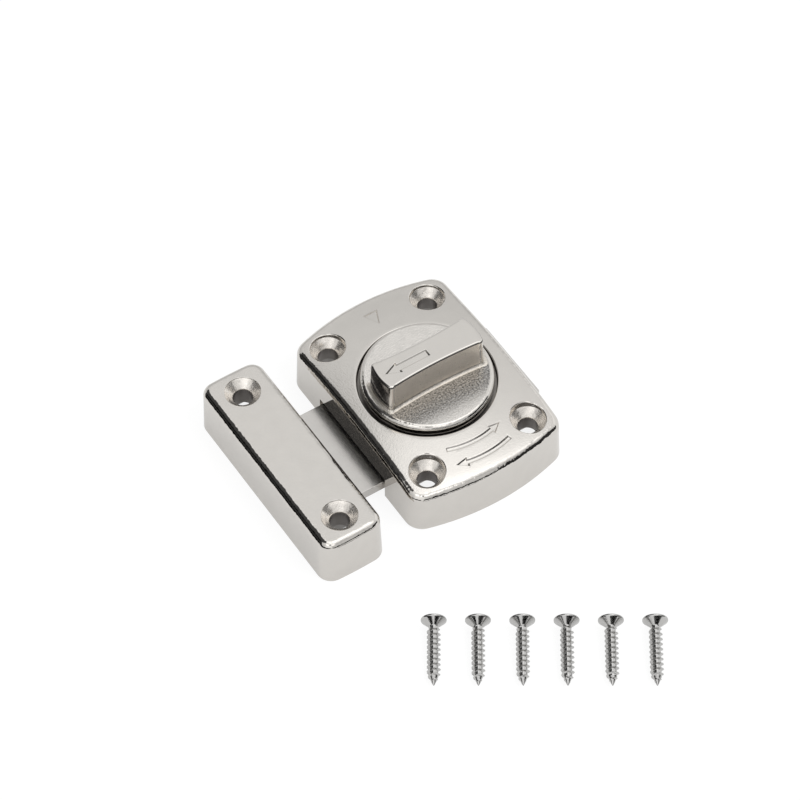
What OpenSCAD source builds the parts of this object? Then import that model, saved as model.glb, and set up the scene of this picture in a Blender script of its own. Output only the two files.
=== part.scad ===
// Surface-mounted door latch: a casing with a turn knob and a flat sliding bolt, a keep and six wood screws.
// The origin is the middle of the casing's back face, on the knob's axis. +Z points out from the door,
// +Y points at the triangle mark, and the keep is on the -X side. The latch is drawn locked.

/* [Casing] */
// Width of the casing, along the bolt
casing_w = 40; // [37:0.5:46]
// Length of the casing, across the bolt
casing_l = 57; // [55:0.5:66]
// Height of the casing on the knob's axis
casing_h = 14.1; // [13.6:0.1:16]
// Radius of the domed top
dome_r = 155; // [120:5:300]
// How far the two ends bow out
end_bow = 3.4; // [1:0.2:5]
// Corner radius in plan
corner_r = 4.3; // [3:0.1:7]
// Thickness of the cast walls
wall = 2; // [1.6:0.1:2.5]
// Slant of the outer walls, in degrees
draft = 2; // [0:0.5:3]
// Rounding where the casing's walls meet its top
edge_r = 1.5; // [0.6:0.1:2]
// Depth of the crank's round pocket in the ceiling of the casing's hollow
pocket_depth = 0.4; // [0.2:0.1:0.8]

/* [Screw holes] */
// Distance between the casing's holes along X
hole_dx = 26.5; // [25:0.5:30]
// Distance between the casing's holes along Y
hole_dy = 40.5; // [39:0.5:44]
// Distance between the keep's two holes
keep_hole_dy = 40; // [34:0.5:44]
// Bore of every screw hole
hole_d = 4.4; // [3.6:0.1:5]
// Diameter of the countersinks
sink_d = 8; // [7:0.1:8.6]
// Straight wall above the casing's countersinks
casing_sink_drop = 1.25; // [0.6:0.05:1.5]
// Straight wall above the keep's countersinks
keep_sink_drop = 0.2; // [0.1:0.1:1]
// From a countersink's rim to the open hollow below it
boss_depth = 6.7; // [5:0.1:7]
// Metal round the countersinks, inside
boss_wall = 0.9; // [0.6:0.1:1.2]

/* [Keep] */
// Width of the keep, along the bolt
keep_w = 16; // [15:0.5:18]
// Length of the keep
keep_l = 54; // [52:0.5:60]
// Height of the keep
keep_h = 12.5; // [11.5:0.1:14]
// How far the keep's two ends bow out
keep_bow = 0.3; // [0.1:0.1:1]
// Corner radius of the keep in plan
keep_corner_r = 3.5; // [2.8:0.1:4.5]
// Rounding where the keep's walls meet its top
keep_edge_r = 1.6; // [0.5:0.1:1.8]
// Thickness of the keep's end walls
keep_end_wall = 1.2; // [1:0.1:2]
// Gap between keep and casing
keep_gap = 7.7; // [5:0.1:10]
// Thickness of the ribs inside the keep and the casing
rib_t = 1.5; // [1.2:0.1:1.8]

/* [Bolt] */
// Width of the bolt's nose
bolt_w = 25.6; // [24.5:0.1:26.4]
// Width of the bolt's tail
tail_w = 22.5; // [18:0.5:23.5]
// Thickness of the bolt
bolt_t = 2.5; // [2:0.1:2.6]
// How far the tail stands out of the casing when locked
tail_out = 3.1; // [1:0.1:6]
// Gap between the bolt's nose and the far wall of the keep when locked
nose_gap = 3.2; // [2.4:0.1:4.5]
// Gap between the bolt's nose and the keep when open
open_gap = 1.2; // [0.5:0.1:2]
// Gap on each side of the bolt in its notches
notch_gap = 0.55; // [0.3:0.05:0.8]
// Gap above the bolt in its notches
notch_rise = 1.25; // [0.6:0.05:1.5]
// Radius of the bolt's corners
bolt_corner_r = 1; // [0.5:0.1:2]

/* [Knob] */
// Diameter of the knob's disc
knob_d = 29.8; // [28:0.1:31]
// Thickness of the disc
disc_t = 2.5; // [2:0.1:3]
// Height of the disc's top over the casing's top, on the axis
disc_rise = 1.1; // [0.8:0.1:1.6]
// Gap between the disc and the rim of its recess
rim_gap = 0.75; // [0.4:0.05:1]
// Length of the grip bar
grip_l = 25.6; // [22:0.1:26]
// Width of the grip bar at its ends
grip_end_w = 8.2; // [7.6:0.1:10]
// Width of the grip bar at its waist
grip_waist_w = 6.8; // [6.4:0.1:7.6]
// Height of the grip bar over the disc
grip_h = 7.8; // [7.2:0.1:10]
// Radius of the grip's upright corners
grip_corner_r = 0.9; // [0.5:0.1:1.4]
// Rounding of the disc's upper edge
disc_edge_r = 1; // [0.3:0.1:1.8]
// Rounding of the grip's upper edges
grip_edge_r = 0.35; // [0.2:0.05:0.5]
// Rounding between the grip and the disc
grip_foot_r = 0.8; // [0.3:0.1:1.2]

/* [Marks] */
// Depth of the arrows and the triangle
mark_depth = 0.35; // [0.2:0.05:0.5]
// Width of the triangle
triangle_w = 3.4; // [2:0.1:4]
// Height of the triangle
triangle_h = 3.8; // [2:0.1:4]
// Distance of the triangle from the rim of the knob's recess
triangle_out = 5.85; // [5:0.05:7]
// Distance of the inner bent arrow from the rim of the knob's recess
inner_out = 3.85; // [3:0.05:4.5]
// Distance of the outer bent arrow from the rim of the knob's recess
outer_out = 7.9; // [7:0.05:8.5]
// Angle over which a bent arrow runs
bent_turn = 41; // [20:1:50]
// Width of the bent arrows' shafts
bent_shaft_w = 0.85; // [0.5:0.05:1.2]
// Length of the bent arrows' heads
bent_head_l = 2.4; // [1.5:0.1:3]
// Width of the bent arrows' heads
bent_head_w = 2; // [1.4:0.1:2.6]
// From the grip's end to the tip of its arrow
grip_arrow_in = 2.1; // [1:0.1:4]
// Length of the arrow on the grip
grip_arrow_l = 10.8; // [8:0.1:14]
// Width of its shaft
grip_shaft_w = 1.65; // [1:0.05:2]
// Length of its head
grip_head_l = 3.2; // [2:0.1:4]
// Width of its head
grip_head_w = 2.8; // [2.2:0.1:3.4]

/* [Mechanism] */
// Diameter of the spindle's journal
spindle_d = 9; // [8:0.1:10]
// Side of the square that is pressed into the knob
square_w = 4.8; // [4:0.1:5]
// Width over the two flats of the spindle's lower end
flats_w = 7; // [6:0.1:7.6]
// Thickness of the crank plate
crank_t = 1.8; // [1.4:0.1:2]
// Diameter of the crank pin
pin_d = 4; // [3:0.1:4.4]
// Least play on each side of the crank pin in the bolt's slot
slot_play = 0.05; // [0.04:0.01:0.15]
// Wall of the bearing bush
bush_wall = 1; // [0.8:0.1:1.2]
// Thickness of the bush's flange
flange_t = 0.75; // [0.5:0.05:0.9]
// How far the bush's flange stands out
flange_w = 1.5; // [1:0.1:1.8]
// Room for the cone washer between the casing and the crank plate
cone_room = 0.6; // [0.5:0.05:0.8]
// Sheet of the cone washer
cone_sheet = 0.3; // [0.2:0.05:0.4]
// Thickness of the lock washer
lock_t = 0.5; // [0.4:0.1:0.8]
// Diameter of the crank screw's shank
shank_d = 4; // [3:0.1:4.4]
// Height of the crank screw's head
screw_head_h = 1.4; // [1.2:0.1:1.8]
// Gap between the crank screw's head and the bolt
head_gap = 0.7; // [0.4:0.1:1]
// Diameter of the crank screw's head
screw_head_d = 7.4; // [6.5:0.1:8]
// Diameter of the detent ball
ball_d = 3; // [2.6:0.1:3.2]
// Turns of the detent spring
spring_turns = 5; // [3:1:6]
// Wire of the detent spring
wire_d = 0.35; // [0.25:0.05:0.4]
// Thickness of the back plate
plate_t = 1.4; // [1:0.1:1.5]
// Height of the glide strips over the back plate
strip_h = 0.45; // [0.3:0.05:0.6]
// Diameter of the rivets
rivet_d = 2; // [1.6:0.1:2.4]
// How far the rivets reach into the casing's pillars
rivet_grip = 3; // [2:0.1:4]
// Radius of the pillars that carry the back plate
pillar_r = 2.5; // [2.3:0.1:3]

/* [Wood screws] */
// Length of a screw
screw_l = 16; // [13:0.5:22]
// Outer diameter of the thread
thread_d = 3.1; // [2.8:0.1:3.5]
// Diameter of the head
head_d = 5.6; // [5:0.1:7]
// Height of the head's rim
head_rim_h = 0.35; // [0.2:0.05:0.6]
// Length of the plain shank under the head
plain_l = 1; // [0.5:0.1:3]
// Length of the pointed tip
tip_l = 2.2; // [1.5:0.1:3]
// Pitch of the thread
pitch = 1.2; // [1:0.05:1.6]
// Distance between two screws in the row
row_step = 9.5; // [8:0.1:14]
// X of the first screw's tip
row_x = -38.7; // [-45:0.1:-30]
// Y of the first screw's tip
row_y = -61.7; // [-75:0.1:-60]
// Direction of the row, in degrees
row_angle = -33.2; // [-40:0.1:0]

/* [Hidden] */
$fn = 64;

// Colours
nickel = [0.78, 0.76, 0.73];
steel = [0.72, 0.72, 0.72];
dark_steel = [0.45, 0.45, 0.46];
plastic = [0.9, 0.89, 0.84];

// Small gap between pieces that fit together, and overshoot of a cut
fit = 0.03;
past = 1;

// Heights of the back plate, the strips and the bolt
slide_gap = 0.05;
strip_top = plate_t + strip_h;
bolt_z = strip_top + slide_gap;
bolt_top = bolt_z + bolt_t;
notch_h = bolt_top + notch_rise;

// Heights round the knob's axis, from the outside to the inside
disc_top = casing_h + disc_rise;
disc_bottom = disc_top - disc_t;
recess_floor = disc_bottom - slide_gap - flange_t;
head_top = bolt_top + head_gap + screw_head_h;
crank_bottom = head_top + lock_t;
crank_top = crank_bottom + crank_t;
pocket_top = crank_top + cone_room;
seat_t = recess_floor - pocket_top;
grip_top = disc_top + grip_h;
ceiling = pocket_top - pocket_depth;

// The bolt's travel in a quarter turn, and the crank that gives it
half_turn = 45;
stop_gap = 0.4;
bolt_reach = keep_w - wall - nose_gap;
travel = bolt_reach + open_gap;
crank_r = travel / (2 * sin(half_turn));
crank_hub_r = spindle_d / 2 + 2.5;
crank_end_r = pin_d / 2 + 0.9;
pocket_r = crank_r + crank_end_r + 1;
pin_x = -crank_r * sin(half_turn);
pin_y = crank_r * cos(half_turn);
keep_side = -casing_w / 2 - keep_gap;
keep_x = keep_side - keep_w / 2;
nose_x = keep_side - bolt_reach;
tail_x = casing_w / 2 + tail_out;
shoulder_x = casing_w / 2 - wall - stop_gap - travel;

// How far a crank pin strays from a bolt that moves evenly with the knob, at most
stray_angle = acos(sin(half_turn) * 180 / (PI * half_turn));
stray = crank_r * (sin(stray_angle) - sin(half_turn) * stray_angle / half_turn);
slot_w = pin_d + 2 * (stray + slot_play);

// Turn from the crank's axis to the square of its straight side
side_turn = acos((crank_hub_r - crank_end_r) / crank_r);

// The lugs that stop that side at both ends of the crank's swing
lug_r = 1.5;
lug_at = crank_r + 2;
lug_turn = side_turn - acos((crank_hub_r + lug_r + stop_gap) / lug_at);

// The rails that guide the bolt, and the pillars that carry the back plate
rail_gap = 0.1;
rail_y = bolt_w / 2 + rail_gap;
shelf_w = 0.9;
pillar_x = 4.5;
pillar_y = rail_y + rib_t + pillar_r - 0.6;
rivet_head_d = rivet_d * 1.8;

// The ribs stand back from the door, and those at the casing's ends from the screws' bores
rib_lift = 0.4;
bore_gap = 0.5;

// The detent's place under the grip
detent_r = 9.5;
ball_sink = 0.45;
ball_z = recess_floor - ball_sink + ball_d / 2;
detent_bore = ball_d / 2 + 0.1;
detent_top = disc_top + 4.3;

// Height of a wood screw's first thread crest over its tip
first_crest = tip_l + pitch * 0.4;

// Length of the spindle's square and of the crank screw's shank
square_l = grip_h - 0.5;
shank_l = 5;

recess_r = knob_d / 2 + rim_gap;
rim_z = dome_z(norm([hole_dx, hole_dy]) / 2);
boss_r = sink_d / 2 + boss_wall;
screws = 6;

// Points of an arc about a centre
function arc(centre, r, from, to, steps) =
    [for (i = [0:steps]) let (a = from + (to - from) * i / steps) centre + r * [cos(a), sin(a)]];

// Radius of an end that bows out by the given amount
function bow_radius(w, bow) = (w * w / 4 + bow * bow) / (2 * bow);

// Plan of a cast block, moved inwards: straight sides, bowed ends and round corners
function plan(w, l, bow, corner, inset) =
    let (r = bow_radius(w, bow), centre_y = l / 2 - r, x = w / 2 - corner,
         y = centre_y + sqrt((r - corner) * (r - corner) - x * x), turn = atan2(y - centre_y, x),
         step = (180 - 2 * turn) / 16)
    concat(
        arc([x, y], corner - inset, 0, turn, 6),
        arc([0, centre_y], r - inset, turn + step, 180 - turn - step, 14),
        arc([-x, y], corner - inset, 180 - turn, 180, 6),
        arc([-x, -y], corner - inset, 180, 180 + turn, 6),
        arc([0, -centre_y], r - inset, 180 + turn + step, 360 - turn - step, 14),
        arc([x, -y], corner - inset, 360 - turn, 360, 6));

// Plan of the grip, moved inwards: waisted sides, ends that follow the disc and small round corners
function grip_side(x) = grip_waist_w / 2 + (grip_end_w - grip_waist_w) / 2 * pow(2 * x / grip_l, 2);
function grip_half(inset, from) =
    let (r = grip_l / 2 - inset, y = grip_end_w / 2 - inset - grip_corner_r,
         x = sqrt(pow(r - grip_corner_r, 2) - y * y), turn = atan2(y, x),
         lean = atan(4 * (grip_end_w - grip_waist_w) * x / (grip_l * grip_l)),
         step = (90 + lean - turn) / 5)
    concat(
        arc([0, 0], r, -turn, turn, 4),
        arc([x, y], grip_corner_r, turn + step, 90 + lean, 4),
        [for (k = [4:-1:-4]) [x * k * 0.2, grip_side(x * k * 0.2) - inset]],
        arc([-x, y], grip_corner_r, 90 - lean, 180 - turn - step, 4));
function grip_plan(inset) =
    let (top = grip_half(inset), bottom = [for (p = top) -p])
    concat(top, bottom);

// A ring of points at one height, or at the height that a crown gives
function flat_ring(points, z) = [for (p = points) [p.x, p.y, z]];
function crown_ring(points, h, crown, drop) =
    [for (p = points) [p.x, p.y, h - crown * (p.x * p.x + p.y * p.y) - drop]];

// Middle of a ring
function middle(ring) = [for (k = [0:2]) [for (p = ring) p[k]] * [for (p = ring) 1] / len(ring)];

// A solid through rings of points, all of one length, from the bottom to the top
module ring_solid(rings) {
    n = len(rings[0]);
    last = len(rings) - 1;
    points = concat([for (r = rings) each r], [middle(rings[0]), middle(rings[last])]);
    low = n * (last + 1);
    sides = [for (k = [0:last - 1], i = [0:n - 1])
        let (a = k * n + i, b = k * n + (i + 1) % n)
        each [[a, a + n, b], [b, a + n, b + n]]];
    bottom = [for (i = [0:n - 1]) [low, i, (i + 1) % n]];
    top = [for (i = [0:n - 1]) [low + 1, last * n + (i + 1) % n, last * n + i]];
    polyhedron(points = points, faces = concat(sides, bottom, top));
}

// A cast block with slanted walls, a rounded edge and a crowned or flat top
module cast_block(w, l, bow, corner, round_r, h, crown) {
    slant = tan(draft) * (h - round_r);
    edge = [for (a = [0:22.5:90])
        crown_ring(plan(w, l, bow, corner, slant + round_r * (1 - cos(a))), h, crown, round_r * (1 - sin(a)))];
    inner = [for (f = [0.8, 0.6, 0.4, 0.2])
        crown_ring(f * plan(w, l, bow, corner, slant + round_r), h, crown, 0)];
    ring_solid(concat([flat_ring(plan(w, l, bow, corner, 0), 0)], edge, inner));
}

// Height of the casing's top at a distance from the knob's axis
function dome_z(r) = casing_h - r * r / (2 * dome_r);

// A countersunk screw hole, cut from its rim downwards
module screw_hole(rim_z, drop) {
    cone = (sink_d - hole_d) / 2;
    translate([0, 0, rim_z - drop]) cylinder(d = sink_d, h = drop + past);
    translate([0, 0, rim_z - drop - cone]) cylinder(d1 = hole_d, d2 = sink_d, h = cone);
    translate([0, 0, -past]) cylinder(d = hole_d, h = rim_z);
}

// The four screw places of the casing
module at_casing_holes() {
    for (x = [-1, 1], y = [-1, 1])
        translate([x * hole_dx / 2, y * hole_dy / 2, 0]) children();
}

// The two screw places of the keep
module at_keep_holes() {
    for (y = [-1, 1])
        translate([keep_x, y * keep_hole_dy / 2, 0]) children();
}

// The four rivet places
module at_pillars() {
    for (x = [-1, 1], y = [-1, 1])
        translate([x * pillar_x, y * pillar_y, 0]) children();
}

// A straight arrow along +X with its tip at the origin
module arrow(length, shaft_w, head_l, head_w) {
    polygon([[0, 0], [-head_l, head_w / 2], [-head_l, shaft_w / 2], [-length, shaft_w / 2],
             [-length, -shaft_w / 2], [-head_l, -shaft_w / 2], [-head_l, -head_w / 2]]);
}

// An arrow bent round the knob's axis, from one angle to its tip at another
module bent_arrow(r, from, to, shaft_w, head_l, head_w) {
    way = to > from ? 1 : -1;
    neck = to - way * head_l / r * 180 / PI;
    polygon(concat(
        arc([0, 0], r + shaft_w / 2, from, neck, 12),
        [(r + head_w / 2) * [cos(neck), sin(neck)], r * [cos(to), sin(to)],
         (r - head_w / 2) * [cos(neck), sin(neck)]],
        arc([0, 0], r - shaft_w / 2, neck, from, 12)));
}

// The triangle and the two bent arrows in the casing's top
module casing_marks() {
    triangle_y = recess_r + triangle_out;
    inner_r = recess_r + inner_out;
    outer_r = recess_r + outer_out;
    half = bent_turn / 2;
    translate([0, triangle_y, dome_z(triangle_y) - mark_depth]) rotate([-asin(triangle_y / dome_r), 0, 0])
        linear_extrude(past)
            polygon([[-triangle_w / 2, triangle_h / 2], [triangle_w / 2, triangle_h / 2], [0, -triangle_h / 2]]);
    translate([0, 0, dome_z(inner_r) - mark_depth]) linear_extrude(past)
        bent_arrow(inner_r, -90 - half, -90 + half, bent_shaft_w, bent_head_l, bent_head_w);
    translate([0, 0, dome_z(outer_r) - mark_depth]) linear_extrude(past)
        bent_arrow(outer_r, -90 + half * inner_r / outer_r, -90 - half * inner_r / outer_r,
            bent_shaft_w, bent_head_l, bent_head_w);
}

// Round pocket for the crank
module crank_pocket() {
    room = 0.4;
    translate([0, 0, crank_bottom - room]) cylinder(r = pocket_r, h = pocket_top - crank_bottom + room);
}

// Rails beside and above the bolt, rivet pillars, screw bosses and a rib across each end
module casing_ribs() {
    rail_l = casing_w - wall;
    root = 0.5;
    for (y = [-1, 1]) scale([1, y, 1]) {
        translate([-rail_l / 2, rail_y, plate_t + slide_gap])
            cube([rail_l, rib_t, ceiling + root - plate_t]);
        translate([-rail_l / 2, rail_y - shelf_w, bolt_top + rail_gap])
            cube([rail_l, shelf_w + rib_t / 2, ceiling + root - bolt_top]);
    }
    at_pillars() translate([0, 0, plate_t]) cylinder(r = pillar_r, h = ceiling + root - plate_t);
    low = rim_z - boss_depth;
    at_casing_holes() translate([0, 0, low]) cylinder(r = boss_r, h = ceiling + root - low);
    end_y = hole_dy / 2 + hole_d / 2 + bore_gap;
    for (y = [-1, 1]) scale([1, y, 1])
        translate([-rail_l / 2, end_y, rib_lift]) cube([rail_l, rib_t, ceiling + root - rib_lift]);
}

// Lugs that end the crank's swing
module stop_lugs() {
    for (a = [180 - half_turn + lug_turn, half_turn - lug_turn])
        rotate(a) translate([lug_at, 0, crank_bottom - 0.2])
            cylinder(r = lug_r, h = pocket_top - crank_bottom + 0.7);
}

// Quarter groove in which the detent ball runs, deeper at its two ends
module ball_track() {
    groove = ball_d / 2 + slide_gap;
    rest = groove + slide_gap;
    translate([0, 0, ball_z]) rotate_extrude(angle = 90, start = 90)
        translate([detent_r, 0]) circle(r = groove);
    for (a = [90, 180])
        rotate(a) translate([detent_r, 0, ball_z - slide_gap]) sphere(r = rest);
}

// Casing: die-cast shell
module casing() {
    bush_hole = spindle_d / 2 + bush_wall + fit;
    inside = casing_w / 2 - wall - past;
    nose_notch = bolt_w + 2 * notch_gap;
    tail_notch = tail_w + 2 * notch_gap;
    color(nickel)
    difference() {
        union() {
            difference() {
                cast_block(casing_w, casing_l, end_bow, corner_r, edge_r, casing_h, 1 / (2 * dome_r));
                translate([0, 0, -past]) linear_extrude(ceiling + past)
                    polygon(plan(casing_w, casing_l, end_bow, corner_r, wall));
                crank_pocket();
            }
            difference() {
                intersection() {
                    casing_ribs();
                    linear_extrude(casing_h) polygon(plan(casing_w, casing_l, end_bow, corner_r, wall / 2));
                }
                crank_pocket();
            }
            stop_lugs();
        }
        translate([0, 0, recess_floor]) cylinder(r = recess_r, h = casing_h);
        cylinder(r = bush_hole, h = casing_h);
        at_casing_holes() screw_hole(rim_z, casing_sink_drop);
        translate([-casing_w, -nose_notch / 2, -past]) cube([casing_w - inside, nose_notch, notch_h + past]);
        translate([inside, -tail_notch / 2, -past]) cube([casing_w, tail_notch, notch_h + past]);
        at_pillars() cylinder(d = rivet_d + 2 * fit, h = plate_t + rivet_grip + fit);
        ball_track();
        casing_marks();
    }
}

// Keep: die-cast box that takes the bolt, with a rib on each side of it
module keep() {
    mouth = bolt_w + 2 * notch_gap;
    top = keep_h - wall;
    hollow_l = keep_l + 2 * (wall - keep_end_wall);
    rib_gap = 1.2;
    color(nickel)
    difference() {
        union() {
            difference() {
                translate([keep_x, 0, 0]) cast_block(keep_w, keep_l, keep_bow, keep_corner_r, keep_edge_r, keep_h, 0);
                translate([keep_x, 0, -past]) linear_extrude(top + past)
                    polygon(plan(keep_w, hollow_l, keep_bow, keep_corner_r, wall));
            }
            intersection() {
                union() {
                    at_keep_holes() translate([0, 0, keep_h - boss_depth]) cylinder(r = boss_r, h = boss_depth - 1);
                    for (y = [-1, 1]) scale([1, y, 1])
                        translate([keep_x - keep_w / 2, mouth / 2 + rib_gap, rib_lift])
                            cube([keep_w, rib_t, keep_h - 1 - rib_lift]);
                }
                translate([keep_x, 0, 0]) linear_extrude(keep_h)
                    polygon(plan(keep_w, keep_l, keep_bow, keep_corner_r, wall / 2));
            }
        }
        at_keep_holes() screw_hole(keep_h, keep_sink_drop);
        translate([keep_side - wall - past, -mouth / 2, -past])
            cube([wall + 2 * past, mouth, notch_h + past]);
    }
}

// Bolt: flat plate with a cross slot for the crank pin and a narrower tail
module bolt() {
    nose = bolt_w / 2;
    tail = tail_w / 2;
    round_r = bolt_corner_r;
    slot_end = 0.2;
    slot_y0 = pin_y - slot_w / 2 - slot_end;
    slot_y1 = crank_r + slot_w / 2 + slot_end;
    color(steel)
    translate([0, 0, bolt_z]) linear_extrude(bolt_t) difference() {
        polygon(concat(
            arc([tail_x - round_r, -tail + round_r], round_r, -90, 0, 5),
            arc([tail_x - round_r, tail - round_r], round_r, 0, 90, 5),
            [[shoulder_x, tail]],
            arc([shoulder_x - round_r, nose - round_r], round_r, 0, 90, 5),
            arc([nose_x + round_r, nose - round_r], round_r, 90, 180, 5),
            arc([nose_x + round_r, -nose + round_r], round_r, 180, 270, 5),
            arc([shoulder_x - round_r, -nose + round_r], round_r, -90, 0, 5),
            [[shoulder_x, -tail]]));
        polygon(concat(
            arc([pin_x, slot_y0 + slot_w / 2], slot_w / 2, 180, 360, 12),
            arc([pin_x, slot_y1 - slot_w / 2], slot_w / 2, 0, 180, 12)));
    }
}

// Knob: cast disc with a grip bar, a square socket for the spindle and a blind hole for the detent
module knob() {
    r = knob_d / 2;
    slant = tan(draft);
    rise = grip_h - grip_edge_r;
    socket = square_w + fit;
    color(nickel)
    difference() {
        union() {
            rotate_extrude() polygon(concat(
                [[0, disc_bottom], [r, disc_bottom]],
                arc([r - disc_edge_r, disc_top - disc_edge_r], disc_edge_r, 0, 90, 6),
                [[0, disc_top]]));
            ring_solid(concat(
                [flat_ring(grip_plan(-grip_foot_r - slant * rise), disc_top - 0.5)],
                [for (a = [0:22.5:90]) flat_ring(grip_plan(-slant * rise - grip_foot_r * (1 - sin(a))),
                    disc_top + grip_foot_r * (1 - cos(a)))],
                [for (a = [0:30:90]) flat_ring(grip_plan(grip_edge_r * (1 - cos(a))),
                    disc_top + rise + grip_edge_r * sin(a))]));
        }
        translate([-socket / 2, -socket / 2, disc_bottom - past]) cube([socket, socket, square_l + past + 0.5]);
        translate([-detent_r, 0, disc_bottom - past]) cylinder(r = detent_bore, h = detent_top - disc_bottom + past);
        translate([-grip_l / 2 + grip_arrow_in, 0, grip_top - mark_depth]) linear_extrude(past)
            rotate(180) arrow(grip_arrow_l, grip_shaft_w, grip_head_l, grip_head_w);
    }
}

// Spindle: square top in the knob, round journal, two flats and a tapped hole below
module spindle() {
    tapped = shank_d + 2 * fit;
    color(steel)
    difference() {
        union() {
            translate([-square_w / 2, -square_w / 2, disc_bottom]) cube([square_w, square_w, square_l]);
            translate([0, 0, crank_top]) cylinder(d = spindle_d, h = disc_bottom - crank_top);
            intersection() {
                translate([0, 0, crank_bottom + slide_gap]) cylinder(d = spindle_d, h = crank_t);
                rotate(180 - half_turn) translate([-spindle_d, -flats_w / 2, crank_bottom])
                    cube([2 * spindle_d, flats_w, crank_t + past]);
            }
        }
        translate([0, 0, crank_bottom - past]) cylinder(d = tapped, h = shank_l + past);
    }
}

// Bearing bush: flanged plastic sleeve
module bearing_bush() {
    outer_r = spindle_d / 2 + bush_wall;
    bush_l = seat_t + flange_t;
    color(plastic)
    difference() {
        union() {
            translate([0, 0, pocket_top]) cylinder(r = outer_r, h = bush_l);
            translate([0, 0, recess_floor]) cylinder(r = outer_r + flange_w, h = flange_t);
        }
        translate([0, 0, pocket_top - past]) cylinder(d = spindle_d + 2 * fit, h = bush_l + 2 * past);
    }
}

// Cone washer: a shallow spring ring between the casing and the crank plate
module cone_washer() {
    inner = spindle_d / 2 + 0.25;
    outer = crank_hub_r;
    high = pocket_top - slide_gap;
    color(dark_steel)
    rotate_extrude() polygon([[inner, crank_top], [outer, high - cone_sheet],
                              [outer, high], [inner, crank_top + cone_sheet]]);
}

// Detent ball, half in the casing's groove and half in the knob
module detent_ball() {
    color(steel) translate([-detent_r, 0, ball_z]) sphere(d = ball_d);
}

// Detent spring: open coil between the ball and the end of its hole
module detent_spring() {
    coil_r = detent_bore - wire_d / 2 - 0.2;
    seat = ball_d / 2 + wire_d / 2 + slide_gap;
    from = ball_z + sqrt(seat * seat - coil_r * coil_r);
    rise = detent_top - wire_d / 2 - slide_gap - from;
    steps = 14 * spring_turns;
    color(dark_steel)
    translate([-detent_r, 0, from]) ring_solid([for (i = [0:steps])
        let (a = 360 * spring_turns * i / steps, z = rise * i / steps)
        [for (k = [0:5]) let (out = coil_r + wire_d / 2 * cos(60 * k))
            [out * cos(a), out * sin(a), z + wire_d / 2 * sin(60 * k)]]]);
}

// Crank plate: an arm keyed on the spindle, with a hole for the crank pin
module crank_plate() {
    color(steel)
    rotate(180 - half_turn) difference() {
        translate([0, 0, crank_bottom]) linear_extrude(crank_t) polygon(concat(
            arc([0, 0], crank_hub_r, side_turn, 360 - side_turn, 28),
            arc([crank_r, 0], crank_end_r, -side_turn, side_turn, 12)));
        intersection() {
            translate([0, 0, crank_bottom - past]) cylinder(d = spindle_d + 2 * fit, h = crank_t + 2 * past);
            translate([-spindle_d, -flats_w / 2 - fit, 0]) cube([2 * spindle_d, flats_w + 2 * fit, casing_h]);
        }
        translate([crank_r, 0, 0]) cylinder(d = pin_d + fit, h = casing_h);
    }
}

// Crank pin: riveted in the crank plate, reaching down into the bolt's slot
module crank_pin() {
    low = bolt_z + 0.1;
    color(steel) translate([pin_x, pin_y, low]) cylinder(d = pin_d, h = crank_top - low);
}

// Split lock washer under the crank screw's head
module lock_washer() {
    split = 0.8;
    low = head_top - past;
    color(dark_steel)
    difference() {
        translate([0, 0, head_top]) cylinder(d = screw_head_d + 0.4, h = lock_t);
        translate([0, 0, low]) cylinder(d = shank_d + 0.4, h = lock_t + 2 * past);
        translate([0, -split / 2, low]) cube([screw_head_d, split, lock_t + 2 * past]);
    }
}

// Crank screw: machine screw that holds the crank plate on the spindle
module crank_screw() {
    recess_w = 0.9;
    recess_l = 4;
    color(steel)
    difference() {
        union() {
            translate([0, 0, head_top - screw_head_h]) cylinder(d = screw_head_d, h = screw_head_h);
            translate([0, 0, head_top]) cylinder(d = shank_d, h = shank_l);
        }
        for (a = [0, 90]) rotate(a)
            translate([-recess_l / 2, -recess_w / 2, head_top - screw_head_h - past])
                cube([recess_l, recess_w, past + 1]);
    }
}

// Back plate: closes the casing and carries the bolt
module back_plate() {
    plate_w = casing_w - 2 * wall - 0.4;
    plate_l = 2 * (rail_y + rib_t + 0.5);
    cone = (rivet_head_d - rivet_d) / 2;
    color(steel)
    difference() {
        union() {
            translate([-plate_w / 2, -plate_l / 2, 0]) cube([plate_w, plate_l, plate_t]);
            at_pillars() cylinder(r = pillar_r, h = plate_t);
        }
        at_pillars() {
            translate([0, 0, -past]) cylinder(d = rivet_d + 2 * fit, h = plate_t + 2 * past);
            cylinder(d1 = rivet_head_d + 2 * fit, d2 = rivet_d + 2 * fit, h = cone);
        }
    }
}

// Glide strips: two plastic strips on the back plate, under the bolt
module glide_strips() {
    strip_w = 2;
    margin = 2;
    strip_l = casing_w - 2 * wall - 2 * margin;
    color(plastic)
    for (y = [-1, 1])
        translate([-strip_l / 2, y * (tail_w / 2 - margin) - strip_w / 2, plate_t]) cube([strip_l, strip_w, strip_h]);
}

// Rivets: countersunk heads in the back plate, shanks in the casing's pillars
module plate_rivets() {
    cone = (rivet_head_d - rivet_d) / 2;
    color(dark_steel)
    at_pillars() {
        cylinder(d = rivet_d, h = plate_t + rivet_grip);
        cylinder(d1 = rivet_head_d, d2 = rivet_d, h = cone);
    }
}

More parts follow.
